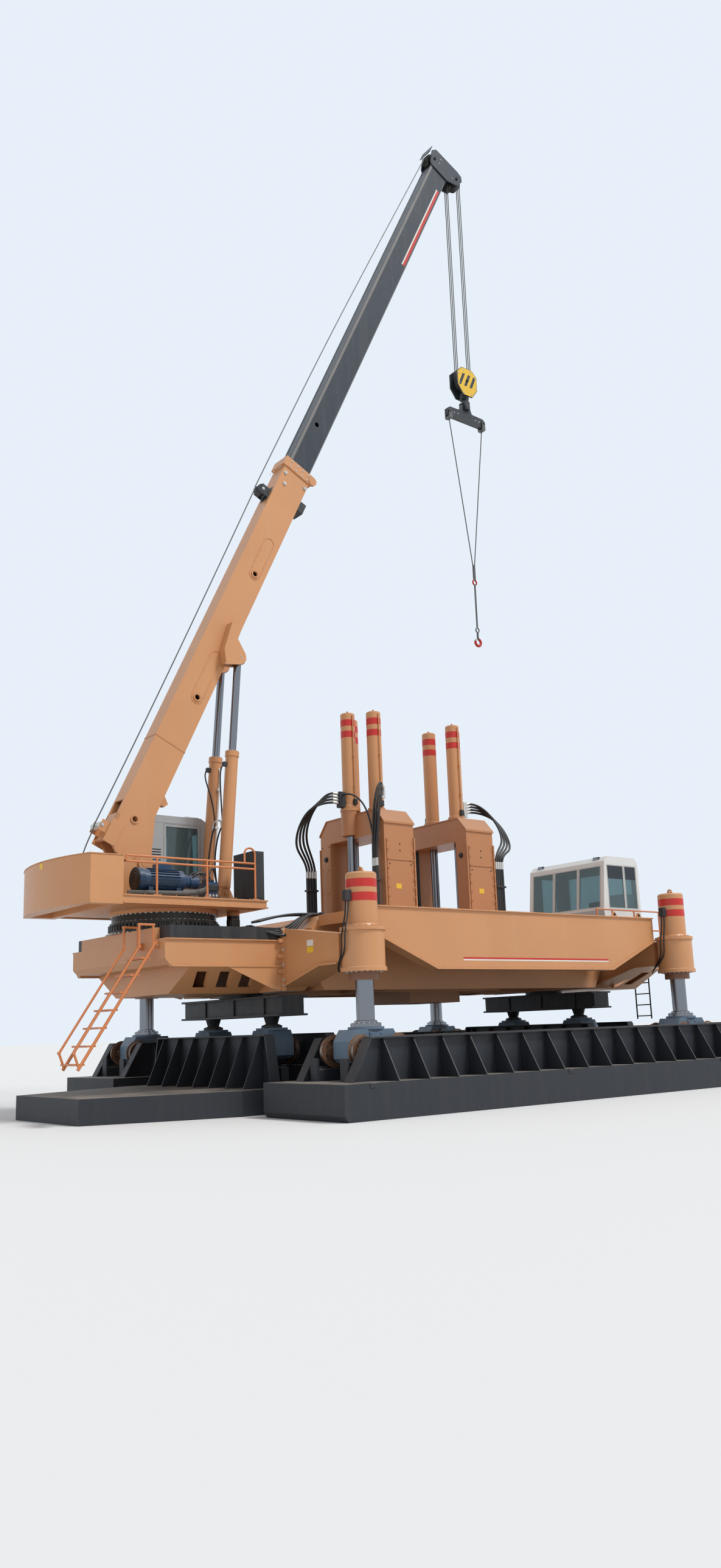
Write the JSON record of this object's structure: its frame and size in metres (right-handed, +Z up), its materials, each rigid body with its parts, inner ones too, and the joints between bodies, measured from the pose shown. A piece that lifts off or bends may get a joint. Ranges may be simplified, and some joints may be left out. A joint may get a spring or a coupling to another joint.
{
  "type": "walking static pile driver rig",
  "caption": "Walking pile driver rig: hydraulic press in portal frames on a hull with leg jacks, long and short pontoons, slewing telescopic crane and operator cab.",
  "frame": {"origin": "on the ground, midway between the four leg jacks", "axes": "+X along the hull from the crane to the operator cab, +Y to the side away from the ladder, +Z up"},
  "size_m": [17.294, 9.786, 23.5929],
  "materials": {
    "tan_paint": "semi-gloss, dusty",
    "steel_paint": "satin, dusty on top",
    "black_paint": "satin",
    "blue_paint": "satin",
    "bogie_paint": "dusty satin",
    "white_paint": "satin",
    "grey_paint": "satin",
    "orange_paint": "satin",
    "press_paint": "semi-gloss, oily",
    "chrome": "polished",
    "rusty_steel": "rusty, worn treads",
    "rope_steel": "greased"
  },
  "bodies": {
    "hull": {"hull_box": "tan_paint", "deck_wings": "tan_paint", "fascia_beams": "tan_paint", "leg_arms": "tan_paint", "crane_module": "tan_paint", "cab_module": "tan_paint", "deck_tanks": "steel_paint", "ring_gear": "black_paint", "leg_cylinders": "tan_paint", "portal_frames": "press_paint", "guide_strips": "black_paint", "press_cylinders": "tan_paint", "ladder_rails": "orange_paint", "operator_cab": "white_paint"},
    "operator_door": {"operator_door": "white_paint"},
    "press": {"clamp_box": "press_paint", "clamp_wings": "press_paint", "press_rods": "chrome"},
    "near_legs": {"near_legs": "chrome", "near_carriages": "bogie_paint"},
    "near_pontoon": {"near_pontoon": "steel_paint"},
    "near_axle_a": {"near_axle_a": "rusty_steel"},
    "near_axle_b": {"near_axle_b": "rusty_steel"},
    "near_axle_c": {"near_axle_c": "rusty_steel"},
    "near_axle_d": {"near_axle_d": "rusty_steel"},
    "far_legs": {"far_legs": "chrome", "far_carriages": "bogie_paint"},
    "far_pontoon": {"far_pontoon": "steel_paint"},
    "far_axle_a": {"far_axle_a": "rusty_steel"},
    "far_axle_b": {"far_axle_b": "rusty_steel"},
    "far_axle_c": {"far_axle_c": "rusty_steel"},
    "far_axle_d": {"far_axle_d": "rusty_steel"},
    "left_bolster": {"left_bolster": "black_paint", "left_carriages": "bogie_paint"},
    "left_short_pontoon": {"left_short_pontoon": "steel_paint"},
    "left_axle_a": {"left_axle_a": "rusty_steel"},
    "left_axle_b": {"left_axle_b": "rusty_steel"},
    "right_bolster": {"right_bolster": "black_paint", "right_carriages": "bogie_paint"},
    "right_short_pontoon": {"right_short_pontoon": "steel_paint"},
    "right_axle_a": {"right_axle_a": "rusty_steel"},
    "right_axle_b": {"right_axle_b": "rusty_steel"},
    "turret": {"turret_deck": "tan_paint", "counterweight": "tan_paint", "crane_cab": "grey_paint", "power_pack": "blue_paint", "switch_cabinet": "black_paint", "turret_railing": "orange_paint"},
    "crane_door": {"crane_door": "grey_paint"},
    "boom": {"boom_base": "tan_paint"},
    "boom_inner": {"boom_inner": "steel_paint", "head_sheaves": "black_paint"},
    "ropes": {"hoist_ropes": "rope_steel"},
    "hook": {"hook_block": "steel_paint", "slings": "rope_steel"},
    "luff_barrels": {"luff_barrels": "tan_paint"},
    "luff_rods": {"luff_rods": "chrome"}
  },
  "joints": [
    {"name": "operator_door_swing", "type": "hinge", "parent": "hull", "child": "operator_door", "pos_m": [6.22, 1.22, 4], "axis": [0, 0, 1], "range_deg": [-100, 0]},
    {"name": "press_stroke", "type": "slide", "parent": "hull", "child": "press", "axis": [0, 0, 1], "range_m": [0, 1.8]},
    {"name": "near_lift", "type": "slide", "parent": "hull", "child": "near_legs", "axis": [0, 0, 1], "range_m": [-0.5, 0.6]},
    {"name": "near_travel", "type": "slide", "parent": "near_legs", "child": "near_pontoon", "axis": [1, 0, 0], "range_m": [-3.6, 0]},
    {"name": "near_axle_a_spin", "type": "hinge", "parent": "near_legs", "child": "near_axle_a", "pos_m": [-4.54, -3.8, 1.0073], "axis": [0, 1, 0], "continuous": true},
    {"name": "near_axle_b_spin", "type": "hinge", "parent": "near_legs", "child": "near_axle_b", "pos_m": [-3.76, -3.8, 1.0073], "axis": [0, 1, 0], "continuous": true},
    {"name": "near_axle_c_spin", "type": "hinge", "parent": "near_legs", "child": "near_axle_c", "pos_m": [3.76, -3.8, 1.0073], "axis": [0, 1, 0], "continuous": true},
    {"name": "near_axle_d_spin", "type": "hinge", "parent": "near_legs", "child": "near_axle_d", "pos_m": [4.54, -3.8, 1.0073], "axis": [0, 1, 0], "continuous": true},
    {"name": "far_lift", "type": "slide", "parent": "hull", "child": "far_legs", "axis": [0, 0, 1], "range_m": [-0.5, 0.6]},
    {"name": "far_travel", "type": "slide", "parent": "far_legs", "child": "far_pontoon", "axis": [1, 0, 0], "range_m": [-3.6, 0]},
    {"name": "far_axle_a_spin", "type": "hinge", "parent": "far_legs", "child": "far_axle_a", "pos_m": [-4.54, 3.8, 1.0073], "axis": [0, 1, 0], "continuous": true},
    {"name": "far_axle_b_spin", "type": "hinge", "parent": "far_legs", "child": "far_axle_b", "pos_m": [-3.76, 3.8, 1.0073], "axis": [0, 1, 0], "continuous": true},
    {"name": "far_axle_c_spin", "type": "hinge", "parent": "far_legs", "child": "far_axle_c", "pos_m": [3.76, 3.8, 1.0073], "axis": [0, 1, 0], "continuous": true},
    {"name": "far_axle_d_spin", "type": "hinge", "parent": "far_legs", "child": "far_axle_d", "pos_m": [4.54, 3.8, 1.0073], "axis": [0, 1, 0], "continuous": true},
    {"name": "left_turn", "type": "hinge", "parent": "hull", "child": "left_bolster", "pos_m": [-4.15, 0, 1.9], "axis": [0, 0, 1], "range_deg": [-5, 5]},
    {"name": "left_shift", "type": "slide", "parent": "left_bolster", "child": "left_short_pontoon", "axis": [0, 1, 0], "range_m": [-0.35, 0.35]},
    {"name": "left_axle_a_spin", "type": "hinge", "parent": "left_bolster", "child": "left_axle_a", "pos_m": [-4.15, -1.03, 1.0253], "axis": [1, 0, 0], "continuous": true},
    {"name": "left_axle_b_spin", "type": "hinge", "parent": "left_bolster", "child": "left_axle_b", "pos_m": [-4.15, 1.03, 1.0253], "axis": [1, 0, 0], "continuous": true},
    {"name": "right_turn", "type": "hinge", "parent": "hull", "child": "right_bolster", "pos_m": [4.15, 0, 1.9], "axis": [0, 0, 1], "range_deg": [-5, 5]},
    {"name": "right_shift", "type": "slide", "parent": "right_bolster", "child": "right_short_pontoon", "axis": [0, 1, 0], "range_m": [-0.35, 0.35]},
    {"name": "right_axle_a_spin", "type": "hinge", "parent": "right_bolster", "child": "right_axle_a", "pos_m": [4.15, -1.03, 1.0253], "axis": [1, 0, 0], "continuous": true},
    {"name": "right_axle_b_spin", "type": "hinge", "parent": "right_bolster", "child": "right_axle_b", "pos_m": [4.15, 1.03, 1.0253], "axis": [1, 0, 0], "continuous": true},
    {"name": "slew", "type": "hinge", "parent": "hull", "child": "turret", "pos_m": [-5.79, 0, 3.5], "axis": [0, 0, 1], "continuous": true},
    {"name": "crane_door_swing", "type": "hinge", "parent": "turret", "child": "crane_door", "pos_m": [-4.91, 1.39, 4.5], "axis": [0, 0, 1], "range_deg": [-100, 0]},
    {"name": "luff", "type": "hinge", "parent": "turret", "child": "boom", "pos_m": [-6.359, 0, 4.406], "axis": [0, -1, 0], "range_deg": [-10, 12]},
    {"name": "extend", "type": "slide", "parent": "boom", "child": "boom_inner", "axis": [0.4352, 0, 0.9003], "range_m": [-4.8, 0]},
    {"name": "hook_swing", "type": "hinge", "parent": "boom_inner", "child": "ropes", "pos_m": [2.677, 0, 23.0519], "axis": [0, -1, 0], "range_deg": [-12, 10]},
    {"name": "hoist", "type": "slide", "parent": "ropes", "child": "hook", "axis": [0, 0, 1], "range_m": [0, 4.4], "deforming": ["hoist_ropes"]},
    {"name": "barrel_swing", "type": "hinge", "parent": "turret", "child": "luff_barrels", "pos_m": [-4.7, 0, 3.93], "axis": [0, -1, 0], "range_deg": [-12, 13]},
    {"name": "rod_stroke", "type": "slide", "parent": "luff_barrels", "child": "luff_rods", "axis": [0.0796, 0, 0.9968], "range_m": [-0.35, 0.4]}
  ],
  "couplings": [
    {"joint": "near_axle_a_spin", "follows": "near_travel", "rad_per_m": -4.3478},
    {"joint": "near_axle_b_spin", "follows": "near_travel", "rad_per_m": -4.3478},
    {"joint": "near_axle_c_spin", "follows": "near_travel", "rad_per_m": -4.3478},
    {"joint": "near_axle_d_spin", "follows": "near_travel", "rad_per_m": -4.3478},
    {"joint": "far_axle_a_spin", "follows": "far_travel", "rad_per_m": -4.3478},
    {"joint": "far_axle_b_spin", "follows": "far_travel", "rad_per_m": -4.3478},
    {"joint": "far_axle_c_spin", "follows": "far_travel", "rad_per_m": -4.3478},
    {"joint": "far_axle_d_spin", "follows": "far_travel", "rad_per_m": -4.3478},
    {"joint": "left_axle_a_spin", "follows": "left_shift", "rad_per_m": 4.3478},
    {"joint": "left_axle_b_spin", "follows": "left_shift", "rad_per_m": 4.3478},
    {"joint": "right_axle_a_spin", "follows": "right_shift", "rad_per_m": 4.3478},
    {"joint": "right_axle_b_spin", "follows": "right_shift", "rad_per_m": 4.3478},
    {"joint": "hook_swing", "follows": "luff", "ratio": -1},
    {"joint": "hoist", "follows": "extend", "ratio": -0.9},
    {"joint": "barrel_swing", "follows": "luff", "ratio": 0.92},
    {"joint": "rod_stroke", "follows": "luff", "m_per_rad": 1.714}
  ]
}
